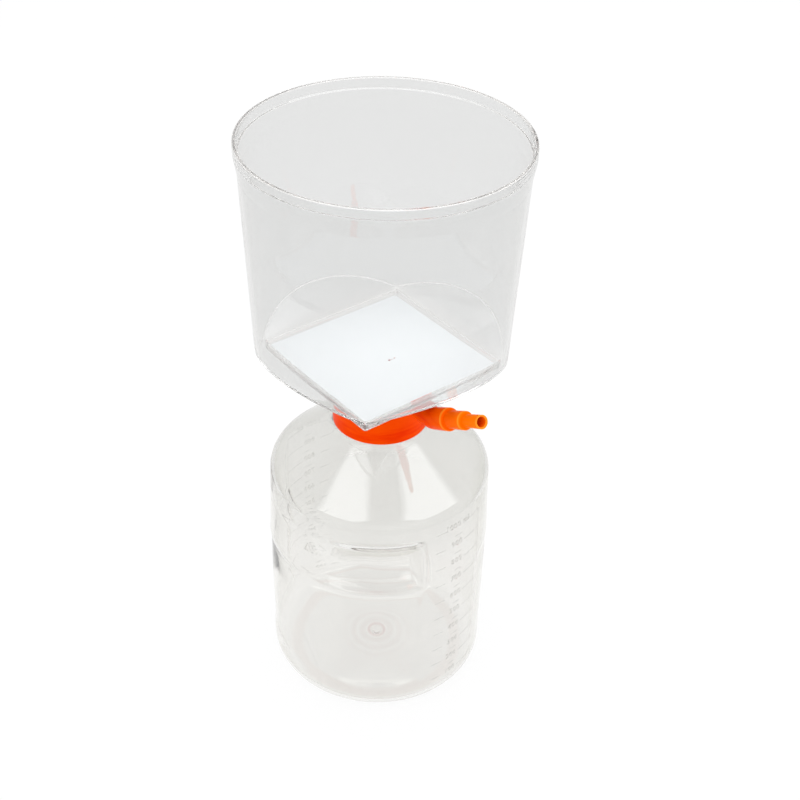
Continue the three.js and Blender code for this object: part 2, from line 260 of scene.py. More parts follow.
def grow(base, tree, sizes, material):
    """Runs a tree on an object and keeps the result as its plain mesh."""
    modifier = base.modifiers.new(tree.tree.name, "NODES")
    modifier.node_group = tree.tree
    for item in tree.tree.interface.items_tree:
        if item.in_out == "INPUT" and item.name in sizes:
            modifier[item.identifier] = sizes[item.name]
        if item.in_out == "INPUT" and item.name == "Material":
            modifier[item.identifier] = material
    mesh = as_made(base)
    base.modifiers.remove(modifier)
    base.data = mesh


def empty_tree(owner):
    """The cleared node tree of a material, a lamp or the world."""
    owner.use_nodes = True
    owner.node_tree.nodes.clear()
    return Tree(owner.node_tree)


def new_material(name):
    """A material, its empty tree and the place on the piece that its patterns follow."""
    material = bpy.data.materials.new(name)
    tree = empty_tree(material)
    return material, tree, tree.node("ShaderNodeTexCoord").outputs["Object"]


# The clear plastics share one body: a slightly smoky polystyrene, faintly rippled by the mould, with
# fine hairline scuffs in patches.
polystyrene_ior, smoke, smoke_density = 1.585, (0.45, 0.36, 0.30), 2.0
scuff_depth, scuff_haze = 0.00001, 0.25
frost_white, frost_haze = 0.55, 0.2
shadow_tint = (0.93, 0.93, 0.925)
# The third colour on the next line is a painted shade that darkens the bottle from the shoulder up.
bottle_tint, bottle_slanted, painted_upper_shade = (0.927, 0.922, 0.905), (0.74, 0.73, 0.67), (0.835, 0.834, 0.815)
heel_shade, ring_shade, gate_shade = (0.885, 0.84, 0.81), (0.86, 0.82, 0.80), (0.80, 0.66, 0.64)
shade_start, shade_full, ring_rate, gate_ring = 0.092, 0.126, 620.0, 0.0042


def clear_plastic(name, tint, ripple, ripple_size, haze, scuffs, slanted=None, local=None):
    """Clear polystyrene. Slanted is the tint of a wall that is seen along its length, and local is a
    function that gives a piece its own shades and frosted edges."""
    material, t, place = new_material(name)
    waves = t.noise(place, ripple_size, 1.5, 0.4)
    grain = t.noise(place, 900.0, 3.0)
    brushed = t.node("ShaderNodeMapping", {"Vector": place, "Rotation": (0.5, 0.3, 0.9),
                                           "Scale": (60.0, 900.0, 60.0)})
    hair = t.noise(brushed, 1.0, 4.0, 0.7)
    patch = t.noise(place, 45.0, 2.0)
    scuff = t.times(t.ramp(hair, 0.66, 0.74), t.ramp(patch, 0.5, 0.66), scuffs)
    rough = t.plus(t.ramp(patch, 0.3, 0.8, haze * 0.4, haze * 1.6), t.times(scuff, scuff_haze))
    colour = t.mix(patch, tuple(c * 0.985 for c in tint), tint)
    clear = 1.0
    if local:
        colour, frost = local(t, place, colour)
        if frost:
            clear = t.minus(1.0, t.times(frost, frost_white))
            rough = t.plus(rough, t.times(frost, frost_haze))
    if slanted:
        facing = t.node("ShaderNodeLayerWeight", {"Blend": 0.5}).outputs["Facing"]
        colour = t.mix(t.ease(facing, 0.5, 1.0), colour, slanted)
    height = t.plus(t.times(waves, ripple), t.times(grain, ripple * 0.004))
    height = t.minus(height, t.times(scuff, scuff_depth))
    bump = t.node("ShaderNodeBump", {"Height": height, "Distance": 1.0, "Strength": 1.0})
    shader = t.node("ShaderNodeBsdfPrincipled", {"Base Color": colour, "Roughness": rough, "Normal": bump,
                                                 "IOR": polystyrene_ior, "Transmission Weight": clear})
    inside = t.node("ShaderNodeVolumeAbsorption", {"Color": (*smoke, 1), "Density": smoke_density})
    lamp_light = t.node("ShaderNodeBsdfTransparent", {"Color": (*shadow_tint, 1)})
    path = t.node("ShaderNodeLightPath").outputs["Is Shadow Ray"]
    both = t.node("ShaderNodeMixShader", {0: path, 1: shader, 2: lamp_light})
    t.node("ShaderNodeOutputMaterial", {"Surface": both, "Volume": inside})
    return material


def bottle_shades(t, place, colour):
    """The bottle's shades: painted shade from the shoulder up, darker for the dimmer surroundings that the
    upper part reflects; brown in the heel; rings round the gate.
    """
    x, y, z = t.node("ShaderNodeSeparateXYZ", {0: place}).outputs
    radius = t.math("SQRT", t.plus(t.times(x, x), t.times(y, y)))
    # Painted shade: darker from the shoulder up, standing in for the dimmer surroundings that this part
    # reflects.
    colour = t.mix(t.ease(z, shade_start, shade_full), colour, painted_upper_shade)
    heel = t.times(t.ease(z, 0.0008, 0.0001), t.ease(radius, 0.038, 0.041))
    colour = t.mix(heel, colour, heel_shade)
    under = t.ease(z, 0.0075, 0.0065)
    rings = t.times(t.math("ABSOLUTE", t.math("SINE", t.times(radius, ring_rate))),
                    t.ease(radius, 0.026, 0.006))
    colour = t.mix(t.times(rings, under, 0.55), colour, ring_shade)
    gate = t.times(t.ease(t.math("ABSOLUTE", t.minus(radius, gate_ring)), 0.0011, 0.0004), under)
    return t.mix(t.times(gate, 0.5), colour, gate_shade), None


bottle_plastic = clear_plastic("bottle polystyrene", bottle_tint, 0.00022, 26.0, 0.02, 0.6, bottle_slanted,
                               bottle_shades)

# The grips follow a rule of the angle past a strip's middle and of the height. Each finger groove is
# deep beside one strip and runs out before the other; on the thumb's side it is shallow. Inside, the
# groove is wider all round and rounder, so that its steep walls keep their thickness. These sizes are
# in metres and degrees.
grip_sizes = {"Strip half angle": strip_half, "Edge angle": 4.2, "Grip bottom": 0.014, "Bottom edge": 0.0095,
              "Panel depth": 0.0008, "Panel edge": 0.002, "Band depth": 0.0002, "Band edge": 0.003,
              "Groove foot": 0.083, "Groove height": 0.0275, "Groove depth": 0.0115, "Full to": 50.0,
              "Ends at": 86.0, "Thumb share": 0.25, "Turn": math.degrees(bottle_turn), "Least radius": 0.0268,
              "Wall at foot": 0.0013, "Wall at top": 0.0011, "Wall at strip": 1.5, "Outer rounding": 6,
              "Inner rounding": 24, "Thumb rounding": 70}
groove_curve = ((0, 0), (0.012, 0.05), (0.035, 0.18), (0.073, 0.357), (0.145, 0.626), (0.236, 0.87),
                (0.345, 1.0), (0.473, 0.956), (0.69, 0.565), (0.891, 0.15), (0.96, 0.035), (1, 0))
grips, size, end = geometry_tree("pressed grips", grip_sizes)
x, y, z = grips.node("ShaderNodeSeparateXYZ", {0: grips.node("GeometryNodeInputPosition")}).outputs
behind = grips.minus(size["Turn"], grips.math("DEGREES", grips.math("ARCTAN2", y, x)))
past = grips.math("FLOORED_MODULO", behind, 180.0)
thumb = grips.math("GREATER_THAN", grips.math("FLOORED_MODULO", behind, 360.0), 180.0)
off = grips.math("PINGPONG", past, 90.0)
reach = grips.math("SQRT", grips.plus(grips.times(x, x), grips.times(y, y)))
inner = grips.node("GeometryNodeInputNamedAttribute", {"Name": "inner"}, data_type="FLOAT").outputs[0]

strip_edge = grips.minus(size["Strip half angle"], grips.times(inner, size["Wall at strip"]))
ends = grips.ease(off, strip_edge, grips.plus(strip_edge, size["Edge angle"]))
foot = grips.minus(size["Groove foot"], grips.times(inner, size["Wall at foot"]))
top = grips.plus(size["Groove foot"], size["Groove height"], grips.times(inner, size["Wall at top"]))
panel = grips.times(grips.ease(z, size["Grip bottom"], grips.plus(size["Grip bottom"], size["Bottom edge"])),
                    grips.ease(z, grips.minus(foot, size["Panel edge"]), foot, 1.0, 0.0))
band = grips.times(grips.ease(z, foot, grips.plus(foot, size["Band edge"])),
                   grips.ease(z, grips.minus(top, size["Band edge"]), top, 1.0, 0.0))
profile = grips.node("ShaderNodeFloatCurve", {"Value": grips.ramp(z, foot, top)})
shape = profile.mapping.curves[0]
for spot in groove_curve[1:-1]:
    shape.points.new(*spot)
shape.points[0].location, shape.points[-1].location = groove_curve[0], groove_curve[-1]
profile.mapping.update()
groove = grips.times(profile.outputs[0], grips.ease(past, size["Full to"], size["Ends at"], 1.0, 0.0),
                     grips.ramp(thumb, 0.0, 1.0, 1.0, size["Thumb share"]))
depth = grips.plus(grips.times(size["Band depth"], band), grips.times(size["Groove depth"], groove),
                   grips.times(size["Panel depth"], panel))
depth = grips.times(depth, ends, grips.math("GREATER_THAN", reach, size["Least radius"]))
for rounding, weight in (("Outer rounding", 1.0), ("Inner rounding", inner), ("Thumb rounding", thumb)):
    depth = grips.node("GeometryNodeBlurAttribute", {"Value": depth, "Iterations": size[rounding],
                                                     "Weight": weight}, data_type="FLOAT").outputs[0]
inward = grips.math("DIVIDE", grips.times(depth, -1.0), grips.math("MAXIMUM", reach, 0.0001))
shift = grips.node("ShaderNodeCombineXYZ", {0: grips.times(x, inward), 1: grips.times(y, inward)})
pressed = grips.node("GeometryNodeSetPosition", {"Geometry": size["Geometry"], "Offset": shift})
end_tree(grips, size, end, pressed)

strip_marks = strip_angles()
bottle_mesh = shell("bottle", turned(bottle_section(), strip_marks, bottle_turn))
inner_points = len(strip_marks) * (len(bottle_side(bottle_wall)) - 1) + 1
is_inner = np.zeros(len(bottle_mesh.vertices), np.float32)
is_inner[-inner_points:] = 1
bottle_mesh.attributes.new("inner", "FLOAT", "POINT").data.foreach_set("value", is_inner)
bottle = put("receiver_bottle_body", bottle_mesh)
grow(bottle, grips, grip_sizes, bottle_plastic)
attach(bottle, "bottle")
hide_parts("receiver_bottle")


# Neck thread
# A rounded thread moulded on the bottle's neck, which the adapter's collar screws onto. It runs for
# a little under two turns and fades out at both ends.
thread_sizes = {"Turns": 1.8, "Pitch": 0.0042, "Thread radius": 0.0201, "Ridge": 0.0009, "Start": 0.1525}
threads, size, end = geometry_tree("neck thread", thread_sizes)
spiral = threads.node("GeometryNodeCurveSpiral", {
    "Resolution": 96, "Rotations": size["Turns"], "Start Radius": size["Thread radius"],
    "End Radius": size["Thread radius"], "Height": threads.times(size["Turns"], size["Pitch"])})
along = threads.node("GeometryNodeSplineParameter").outputs["Factor"]
taper = threads.ramp(threads.math("MINIMUM", along, threads.minus(1.0, along)), 0.0, 0.07, 0.25, 1.0)
rod = threads.node("GeometryNodeCurvePrimitiveCircle", {"Resolution": 12, "Radius": size["Ridge"]})
sized = threads.node("GeometryNodeSetCurveRadius", {"Curve": spiral, "Radius": taper})
ridge = threads.node("GeometryNodeCurveToMesh", {"Curve": sized, "Profile Curve": rod, "Scale": taper,
                                                 "Fill Caps": True})
lift = threads.node("ShaderNodeCombineXYZ", {2: size["Start"]})
ridge = threads.node("GeometryNodeSetPosition", {"Geometry": ridge, "Offset": lift})
end_tree(threads, size, end, threads.node("GeometryNodeSetShadeSmooth", {0: ridge}))
thread = put("neck_thread", bpy.data.meshes.new("thread"))
grow(thread, threads, thread_sizes, bottle_plastic)
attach(thread, "bottle")


# Graduations
# Fine raised lines and plain numbers in millilitres, of the same clear polystyrene. They are moulded
# with the bottle on its two strips, with a line each side of every number and a short one between.
mark_count, mark_first, mark_spacing, mark_raised = 10, 15.9, 10.83, 0.14
number_size, number_place, unit_place = 4.4, (0.2, 0.6), (0.9, 1.0)
scale_plastic = clear_plastic("moulded scale", (0.937, 0.932, 0.918), 0.0001, 60.0, 0.08, 0.3)


def corners_of(mesh):
    """A mesh's points as rows of three."""
    flat = np.empty(len(mesh.vertices) * 3)
    mesh.vertices.foreach_get("co", flat)
    return flat.reshape(-1, 3)


def wrapped(mesh, strip):
    """Lays a flat mesh (millimetres across, up and out) on a strip of the bottle."""
    across, up, out = corners_of(mesh).T
    r = np.array([side_radius(v) for v in up])
    a = across / r + bottle_turn + strip
    bent = np.stack([(r + out) * np.cos(a), (r + out) * np.sin(a), up], 1) * mm
    mesh.vertices.foreach_set("co", bent.ravel())
    mesh.update()
    return mesh


tick_sizes = {"Ticks": mark_count, "Spacing": mark_spacing, "First": mark_first, "Left": -9.6, "Long": 5.6,
              "Thick": 0.28, "Raised": mark_raised, "Right": 11.5, "Right long": 12.2, "Middle": 1.0,
              "Middle long": 4.2, "Scale line": 17.7}
ticks, size, end = geometry_tree("scale lines", tick_sizes)


def tick_row(across, length, first):
    """A row of like ticks, one above the other."""
    start = ticks.node("ShaderNodeCombineXYZ", {0: across, 1: first})
    step = ticks.node("ShaderNodeCombineXYZ", {1: size["Spacing"]})
    spots = ticks.node("GeometryNodeMeshLine", {"Count": size["Ticks"], "Start Location": start,
                                                "Offset": step})
    shape = ticks.node("ShaderNodeCombineXYZ", {0: length, 1: size["Thick"], 2: size["Raised"]})
    bar = ticks.node("GeometryNodeMeshCube", {"Size": shape, "Vertices X": 9})
    return ticks.node("GeometryNodeInstanceOnPoints", {"Points": spots, "Instance": bar})


half_step = ticks.plus(size["First"], ticks.times(size["Spacing"], -0.5))
rows = [tick_row(size["Left"], size["Long"], size["First"]),
        tick_row(size["Right"], size["Right long"], size["First"]),
        tick_row(size["Middle"], size["Middle long"], half_step)]
span = ticks.times(size["Spacing"], float(mark_count - 1))
shape = ticks.node("ShaderNodeCombineXYZ", {0: size["Thick"], 1: span, 2: size["Raised"]})
post = ticks.node("GeometryNodeMeshCube", {"Size": shape, "Vertices Y": 40})
place = ticks.node("ShaderNodeCombineXYZ", {0: size["Scale line"], 1: ticks.plus(size["First"],
                                                                                 ticks.times(span, 0.5))})
rows.append(ticks.node("GeometryNodeTransform", {"Geometry": post, "Translation": place}))
joined = ticks.node("GeometryNodeJoinGeometry")
for row in rows:
    ticks.tree.links.new(row.outputs[0], joined.inputs[0])
end_tree(ticks, size, end, joined)


def number(label, across, up):
    """A raised number or unit as a mesh, flat, in millimetres."""
    text = bpy.data.curves.new("number", "FONT")
    text.body, text.size, text.extrude = label, number_size, mark_raised
    text.align_x = text.align_y = "CENTER"
    text.resolution_u = 3
    text.space_character = 1.12
    carrier = bpy.data.objects.new("number", text)
    bpy.context.scene.collection.objects.link(carrier)
    mesh = as_made(carrier)
    bpy.data.objects.remove(carrier)
    mesh.vertices.foreach_set("co", (corners_of(mesh) + (across, up, 0)).ravel())
    return mesh


def joined_mesh(name, meshes):
    """Several meshes as one."""
    points, faces = [], []
    for mesh in meshes:
        start = len(points)
        points += [tuple(v.co) for v in mesh.vertices]
        faces += [tuple(i + start for i in p.vertices) for p in mesh.polygons]
    whole = bpy.data.meshes.new(name)
    whole.from_pydata(points, [], faces)
    whole.update()
    return whole


for side, strip in (("near", 0.0), ("far", math.pi)):
    lines = put(f"scale_lines_{side}", bpy.data.meshes.new("lines"))
    grow(lines, ticks, tick_sizes, scale_plastic)
    wrapped(lines.data, strip)
    labels = [number(str(100 * (i + 1)), number_place[0], mark_first + mark_spacing * i + number_place[1])
              for i in range(mark_count - 1)]
    labels.append(number("1000 ml", unit_place[0],
                         mark_first + mark_spacing * (mark_count - 1) + unit_place[1]))
    numbers = put(f"scale_numbers_{side}", wrapped(joined_mesh("numbers", labels), strip), scale_plastic)
    for made in (lines, numbers):
        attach(made, "bottle")


# Neck gasket
# A flat ring of pale soft rubber, moulded with rounded edges. It sits in the adapter's collar and is
# pressed on the bottle's lip.
gasket_low, gasket_high, gasket_bore, gasket_radius, gasket_round = 163.476, 165.076, 17.6, 21.1, 0.15
gasket_rubber, t, place = new_material("gasket rubber")
grain = t.noise(place, 1400.0, 4.0)
cloud = t.noise(place, 120.0, 2.0)
colour = t.mix(cloud, (0.66, 0.66, 0.63), (0.74, 0.74, 0.71))
rough = t.ramp(grain, 0.0, 1.0, 0.5, 0.72)
bump = t.node("ShaderNodeBump", {"Height": grain, "Distance": 0.00004, "Strength": 0.6})
shader = t.node("ShaderNodeBsdfPrincipled", {"Base Color": colour, "Roughness": rough, "Normal": bump})
t.node("ShaderNodeOutputMaterial", {"Surface": shader})

gasket_section = [(gasket_bore + gasket_round, gasket_low)]
for cr, cz, start, stop in ((gasket_radius - gasket_round, gasket_low + gasket_round, -90, 0),
                            (gasket_radius - gasket_round, gasket_high - gasket_round, 0, 90),
                            (gasket_bore + gasket_round, gasket_high - gasket_round, 90, 180),
                            (gasket_bore + gasket_round, gasket_low + gasket_round, 180, 255)):
    gasket_section += arc(cr, cz, gasket_round, start, stop, 3)
gasket_angles = spread(0, 360, 120)
gasket = put("neck_gasket_ring", shell("gasket", turned(gasket_section, gasket_angles), closed=True),
             gasket_rubber)
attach(gasket, "neck_seal")
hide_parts("neck_gasket")


# Neck adapter with hose connector
# One injection moulding in orange polypropylene: a screw collar, the drain chamber above it, and an
# elbow that rises to a hose connector with three steps.
collar_radius, collar_bore, collar_round, collar_chamfer = 22.9, 21.4, 0.35, (0.45, 0.5)
collar_bottom, seat_level, chamber_level, adapter_top = 148.776, 165.376, 166.976, 181.476
collar_rows, bore_row = (153.776, 160.776, 166.8, 171, 176), 158
seat_bore, chamber_radius, chamber_round, edge_round = 17.6, 21.2, 0.8, 0.3
connector_turn, connector_tilt = math.radians(-45), math.radians(28.3)
connector_level, connector_reach = 170.676, 38.6
stem_across, stem_up = math.cos(connector_tilt), math.sin(connector_tilt)
tube_radius, tube_bore, bend_radius, bend_steps, tube_step = 5.15, 3.35, 9.0, 8, 2.5
step_lengths, step_radii, step_flare, step_chamfer = (12.7, 11.8, 11.8), (5.35, 4.3, 3.16), 0.18, 0.8
stem_start, step_lip, tip_lip = 3.0, ((0.12, 0.06), (0.18, 0.22)), ((-0.02, 0.1), (0, 0.25))
tube_root, bore_root, tip_bore = 1.2, 4, 2.4
# The streak colour on the next line is a painted reflection; the thin and lip colours below it are painted
# light and painted highlights.
orange_deep, orange_bright, orange_painted_reflection_streak = (0.92, 0.036, 0.0), (1.0, 0.10, 0.0), (0.84, 0.014, 0.0)
orange_painted_light_thin, orange_painted_lip_highlight = (1.0, 0.19, 0.0), (1.0, 0.34, 0.03)

# Faint streaks run round the walls in the bump and roughness, and as painted reflection streaks, a darker
# red in the colour. Painted light makes the orange lighter and yellower out along the stem, standing in for
# light through the thin plastic, and painted highlights lie on the sharp lips of the steps.
orange_plastic, t, place = new_material("orange polypropylene")
flow = t.node("ShaderNodeMapping", {"Vector": place, "Scale": (35.0, 35.0, 260.0)})
streak = t.noise(flow, 1.0, 3.0, 0.55)
grain = t.noise(place, 2600.0, 3.0)
cloud = t.noise(place, 70.0, 3.0)
colour = t.mix(cloud, orange_deep, orange_bright)
# Painted reflection streaks: the colour goes darker red along the streaks, standing in for reflections on the
# walls.
colour = t.mix(t.ramp(streak, 0.5, 0.66, 0.0, 0.55), colour, orange_painted_reflection_streak)
stem_way = (math.cos(connector_turn) * stem_across, math.sin(connector_turn) * stem_across, stem_up)
bend_along = connector_reach * stem_across + connector_level * stem_up
along = t.node("ShaderNodeVectorMath", {0: place, 1: stem_way}, operation="DOT_PRODUCT").outputs["Value"]
along = t.minus(along, bend_along * mm)
# Painted light: lighter and yellower out along the stem, standing in for light through the thin plastic.
colour = t.mix(t.ramp(along, 0.002, 0.036), colour, orange_painted_light_thin)
# Painted highlights: a lighter band on the sharp lip at the end of each step.
for count in (1, 2, 3):
    off = t.math("ABSOLUTE", t.minus(along, (sum(step_lengths[:count]) - 0.3) * mm))
    colour = t.mix(t.ramp(off, 0.0002, 0.0007, 0.7, 0.0), colour, orange_painted_lip_highlight)
rough = t.ramp(streak, 0.0, 1.0, 0.22, 0.42)
height = t.plus(t.times(grain, 0.000006), t.times(streak, 0.00005))
bump = t.node("ShaderNodeBump", {"Height": height, "Distance": 1.0, "Strength": 0.7})
shader = t.node("ShaderNodeBsdfPrincipled", {"Base Color": colour, "Roughness": rough, "Normal": bump,
                                             "Specular IOR Level": 0.03,
                                             "Specular Tint": (1.0, 0.42, 0.06, 1)})
t.node("ShaderNodeOutputMaterial", {"Surface": shader})

collar_section = [
    *arc(collar_radius - collar_round, collar_bottom + collar_round, collar_round, -90, 0, 4),
    *[(collar_radius, z) for z in collar_rows],
    *arc(collar_radius - edge_round, adapter_top - edge_round, edge_round, 0, 90, 4),
    *arc(chamber_radius + edge_round, adapter_top - edge_round, edge_round, 90, 180, 4),
    (chamber_radius, chamber_level + chamber_round),
    *arc(chamber_radius - chamber_round, chamber_level + chamber_round, chamber_round, 0, -90, 4),
    *arc(seat_bore + edge_round, chamber_level - edge_round, edge_round, 90, 180, 4),
    *arc(seat_bore + edge_round, seat_level + edge_round, edge_round, 180, 270, 4),
    (collar_bore, seat_level), (collar_bore, bore_row), (collar_bore, collar_bottom + collar_chamfer[1]),
    (collar_bore + collar_chamfer[0], collar_bottom)]
adapter = put("adapter_body", shell("adapter", turned(collar_section, spread(0, 360, 144)), closed=True),
              orange_plastic)


def connector_line(start):
    """The connector's middle line in its own upright plane, out and round the bend, as (across, height,
    direction)."""
    tangent = bend_radius * math.tan(connector_tilt / 2)
    before = (connector_reach - tangent, connector_level)
    after = (connector_reach + stem_across * tangent, connector_level + stem_up * tangent)
    spots = [(*p, 0.0) for p in line((start, connector_level), before,
                                     max(2, round((before[0] - start) / tube_step)))]
    for i in range(bend_steps + 1):
        s = i / bend_steps
        spots.append((*[(1 - s) ** 2 * a + 2 * s * (1 - s) * b + s * s * c for a, b, c in
                        zip(before, (connector_reach, connector_level), after)],
                      math.atan2(s * stem_up, (1 - s) + s * stem_across)))
    return spots


def connector_form(name, radius, start, stem_spots, turns=48):
    """A closed round form along the middle line, then up the stem, whose spots are (along, radius)."""
    spots = [(*p, radius) for p in connector_line(start)]
    spots += [(connector_reach + stem_across * a, connector_level + stem_up * a, connector_tilt, r)
              for a, r in stem_spots]
    rows = []
    for a, z, way, r in [(*spots[0][:3], 0)] + spots + [(*spots[-1][:3], 0)]:
        ring = [(a - r * math.cos(v) * math.sin(way), -r * math.sin(v), z + r * math.cos(v) * math.cos(way))
                for v in (2 * math.pi * i / turns for i in range(turns if r else 1))]
        rows.append([((p[0] * math.cos(connector_turn) - p[1] * math.sin(connector_turn)) * mm,
                      (p[0] * math.sin(connector_turn) + p[1] * math.cos(connector_turn)) * mm, p[2] * mm)
                     for p in ring])
    return shell(name, rows)


# Each step of the stem flares a little towards its end and turns in over a small lip.
stem_outline = [(stem_start, tube_radius), (5.0, tube_radius + 0.02)]
run = 0.0
for i, (length, radius) in enumerate(zip(step_lengths, step_radii)):
    begin = run + (step_chamfer if i else stem_start)
    if i:
        stem_outline.append((begin + 0.001, radius - step_flare))
    stem_outline += [(begin + (run + length - begin) * s / 4, radius - step_flare * (1 - s / 4))
                     for s in range(1, 5)]
    run += length
    stem_outline += [(run + out, radius - drop) for out, drop in (step_lip if i < 2 else tip_lip)]
bore_outline = [(4.0, tube_bore), (6.5, tip_bore), (run - 0.4, tip_bore), (run - 0.05, tip_bore + 0.35),
                (run + 1.0, tip_bore + 0.4)]
outside = put("connector_outside", connector_form("outside", tube_radius, chamber_radius - tube_root,
                                                  stem_outline))
inside = put("connector_inside", connector_form("inside", tube_bore, chamber_radius - bore_root,
                                                bore_outline))
for tool, operation in ((outside, "UNION"), (inside, "DIFFERENCE")):
    cut = adapter.modifiers.new(operation, "BOOLEAN")
    cut.operation = operation
    cut.solver = "EXACT"
    cut.object = tool
whole = as_made(adapter)
adapter.modifiers.clear()
adapter.data = whole
for tool in (outside, inside):
    bpy.data.objects.remove(tool)
adapter.data.materials.clear()
adapter.data.materials.append(orange_plastic)
adapter.data.polygons.foreach_set("use_smooth", [True] * len(adapter.data.polygons))
adapter.data.set_sharp_from_angle(angle=math.radians(32))
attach(adapter, "filter_unit")
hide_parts("neck_adapter")


# Support base
# A square plate with drainage ribs in clear polystyrene, welded under the funnel. A ring below it fits
# the chamber and a slant-cut spout lets the filtrate down into the bottle.
base_plastic = clear_plastic("base polystyrene", (0.98, 0.972, 0.966), 0.0001, 60.0, 0.05, 0.6)
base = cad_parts["support_base"]
for held in base.material_slots:
    held.material = base_plastic


# Membrane
# A thin white sheet of porous polymer, cut square and sealed at its edge on the plate's ribs. A small
# dark fleck lies on it near the middle.
membrane_low, membrane_high, membrane_half, membrane_corner = 184.076, 184.376, 37.9, 1.2
membrane_flecks = ((0.0040, -0.0035, 0.0007, (0.32, 0.03, 0.04)),
                   (0.0061, -0.0014, 0.0005, (0.42, 0.10, 0.08)),
                   (0.0050, -0.0026, 0.00035, (0.5, 0.2, 0.15)))
membrane_white, t, place = new_material("membrane")
fibre = t.noise(place, 3000.0, 5.0, 0.7)
cloud = t.noise(place, 60.0, 4.0)
colour = t.mix(cloud, (0.905, 0.93, 0.95), (0.93, 0.95, 0.965))
for across, back, reach, shade in membrane_flecks:
    near = t.node("ShaderNodeVectorMath", {0: place, 1: (across, back, membrane_high * mm)},
                  operation="DISTANCE").outputs["Value"]
    ragged = t.plus(near, t.times(t.minus(fibre, 0.5), 0.0006))
    colour = t.mix(t.ramp(ragged, reach * 0.5, reach, 1.0, 0.0), colour, shade)
rough = t.ramp(fibre, 0.0, 1.0, 0.75, 0.95)
height = t.plus(t.times(fibre, 0.00002), t.times(cloud, 0.0003))
bump = t.node("ShaderNodeBump", {"Height": height, "Distance": 1.0, "Strength": 0.6})
shader = t.node("ShaderNodeBsdfPrincipled", {"Base Color": colour, "Roughness": rough, "Normal": bump,
                                             "Specular IOR Level": 0.25})
t.node("ShaderNodeOutputMaterial", {"Surface": shader})


def square_reach(turn, half, corner):
    """How far a square with rounded corners reaches at an angle (radians) from a side's middle line."""
    a = abs((turn + math.pi / 4) % (math.pi / 2) - math.pi / 4)
    flat = half - corner
    if half * math.tan(a) <= flat:
        return half / math.cos(a)
    b = flat * (math.cos(a) + math.sin(a))
    return b + math.sqrt(max(b * b - 2 * flat * flat + corner * corner, 0))


def square_angles(coarse, fine):
    """Degrees round the unit, close together at the square's corners."""
    marks = []
    for corner in (0, 90, 180, 270):
        for low, high, step in ((-45, -6, coarse), (-6, 6, fine), (6, 45, coarse)):
            marks += spread(corner + low, corner + high, round((high - low) / step))
    return marks


def around(r, angle, z):
    """A point in metres, from millimetres and degrees."""
    return r * mm * math.cos(math.radians(angle)), r * mm * math.sin(math.radians(angle)), z * mm


sheet_angles = square_angles(3.0, 0.6)
sheet_reach = [square_reach(math.radians(a + 45), membrane_half, membrane_corner) for a in sheet_angles]
sheet_rows = [[(0, 0, membrane_low * mm)]]
for share, level in ((0.5, membrane_low), (1, membrane_low), (1, membrane_high - 0.06),
                     *[(share, membrane_high) for share in (0.999, 0.96, 0.75, 0.5, 0.25)]):
    sheet_rows.append([around(share * r, a, level) for r, a in zip(sheet_reach, sheet_angles)])
sheet_rows.append([(0, 0, membrane_high * mm)])
sheet = put("membrane_sheet", shell("membrane", sheet_rows), membrane_white)
sheet.data.set_sharp_from_angle(angle=math.radians(35))
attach(sheet, "filter_unit")
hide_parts("membrane")


# Filter funnel
# One injection moulding in clear polystyrene. Its round wall flares to a band with an inner ledge for
# a loose lid, and four sloping facets lead down to the square well and its frame.
frame_bottom, well_top = 181.776, 186.776
well_half, well_top_half, well_corner, frame_half = 38.2, 39.0, 1.2, 39.8
facet_angle, facet_thickness = math.radians(27.2), 1.2
facet_slope, facet_drop = math.tan(facet_angle), facet_thickness / math.cos(facet_angle)
funnel_radius, funnel_wall, funnel_taper = 62.6, 1.7, math.tan(math.radians(2.6))
rim_radius, rim_ledge, flare_level, rim_level, rim_top = 64.0, 0.8, 280.576, 288.776, 293.776
crease, crease_reach = 3.0, 56
funnel_tint, funnel_slanted = (0.905, 0.908, 0.904), (0.87, 0.865, 0.85)
frame_shade, frost_shade = (0.975, 0.968, 0.96), (0.95, 0.94, 0.925)


def rounded(points, radii, steps, frosts):
    """A closed outline with its corners rounded, always with the same number of points. The third value
    of a point is how much it is frosted, which is most in the middle of a corner."""
    out = []
    for i, (r, n, frost) in enumerate(zip(radii, steps, frosts)):
        p = np.array(points[i])
        if r == 0:
            out.append((*p, 0.0))
            continue
        a, b = np.array(points[i - 1]) - p, np.array(points[(i + 1) % len(points)]) - p
        la, lb = np.linalg.norm(a), np.linalg.norm(b)
        a, b = a / la, b / lb
        half = math.acos(max(-1, min(1, float(a @ b)))) / 2
        reach = min(r / math.tan(half), 0.45 * la, 0.45 * lb)
        start, stop = p + a * reach, p + b * reach
        for k in range(n + 1):
            s = k / n
            bend = (1 - s) ** 2 * start + 2 * s * (1 - s) * p + s * s * stop
            out.append((*bend, frost * math.sin(math.pi * s)))
    return out


def divided(points, spans):
    """Adds points on long straight stretches; spans gives the stretch that starts at a point's index."""
    out = []
    for i, p in enumerate(points):
        step = (np.array(points[(i + 1) % len(points)]) - p) / spans.get(i, 1)
        out += [tuple(np.array(p) + step * k) for k in range(spans.get(i, 1))]
    return out


